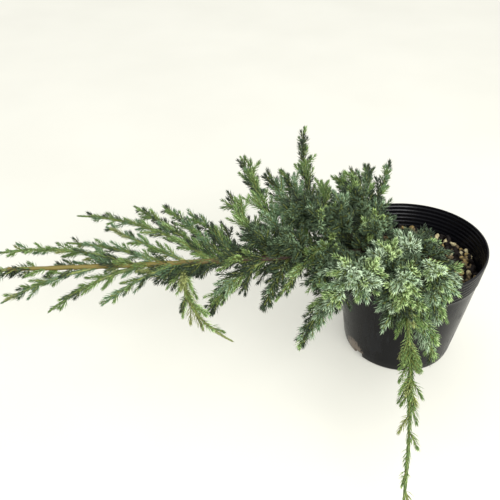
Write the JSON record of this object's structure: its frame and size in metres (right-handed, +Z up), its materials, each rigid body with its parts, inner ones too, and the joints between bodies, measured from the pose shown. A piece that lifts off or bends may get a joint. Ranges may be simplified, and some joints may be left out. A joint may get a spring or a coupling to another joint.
{
  "type": "potted blue carpet juniper",
  "caption": "Young creeping conifer with a long trailing leader and dense blue-green crown, in a thin black ribbed nursery pot filled with growing mix.",
  "frame": {"origin": "centre of the flat underside of the pot, on the surface that the pot stands on", "axes": "+Z up, -X along the long trailing leader, -Y towards the hanging shoot at the front"},
  "size_m": [0.3445, 0.2483, 0.1465],
  "materials": {
    "pot_plastic": "soft black moulded plastic, satin",
    "growing_mix": "loose dark brown and tan grit, matt",
    "bark": "thin reddish-brown bark, matt",
    "foliage": "grey-blue-green needles with a pale bloom"
  },
  "bodies": {
    "root": {"pot": "pot_plastic", "growing_mix": "growing_mix", "trunk": "bark", "leader_bough": "bark", "crown_bough": "bark", "back_bough": "bark", "front_bough": "bark", "side_bough": "bark", "front_right_bough": "bark", "right_bough": "bark", "leader_tip_spray": "foliage", "far_upper_spray": "foliage", "middle_upper_spray": "foliage", "inner_upper_spray": "foliage", "long_upper_spray": "foliage", "far_upright_spray": "foliage", "upright_spray": "foliage", "short_upright_spray": "foliage", "near_upright_spray": "foliage", "low_left_crest": "foliage", "left_crest": "foliage", "inner_left_crest": "foliage", "left_top_crest": "foliage", "far_lower_spray": "foliage", "middle_lower_spray": "foliage", "inner_lower_spray": "foliage", "drooping_spray": "foliage", "low_spray": "foliage", "low_tuft": "foliage", "crossing_spray": "foliage", "leader_tuft": "foliage", "left_tuft": "foliage", "near_left_tuft": "foliage", "top_crest": "foliage", "middle_crest": "foliage", "heart_left_tuft": "foliage", "heart_tuft": "foliage", "heart_top_tuft": "foliage", "back_crest": "foliage", "back_left_crest": "foliage", "back_right_crest": "foliage", "right_crest": "foliage", "back_heart_tuft": "foliage", "shoulder_tuft": "foliage", "heart_right_tuft": "foliage", "soil_tuft": "foliage", "right_tuft": "foliage", "right_spray": "foliage", "rim_tuft": "foliage", "front_right_spray": "foliage", "front_tuft": "foliage", "front_crown_tuft": "foliage", "front_top_tuft": "foliage", "front_mass": "foliage", "hanging_tuft": "foliage", "hanging_spray": "foliage", "front_left_mass": "foliage", "lower_left_tuft": "foliage", "side_tuft": "foliage", "low_left_spray": "foliage"}
  },
  "joints": []
}
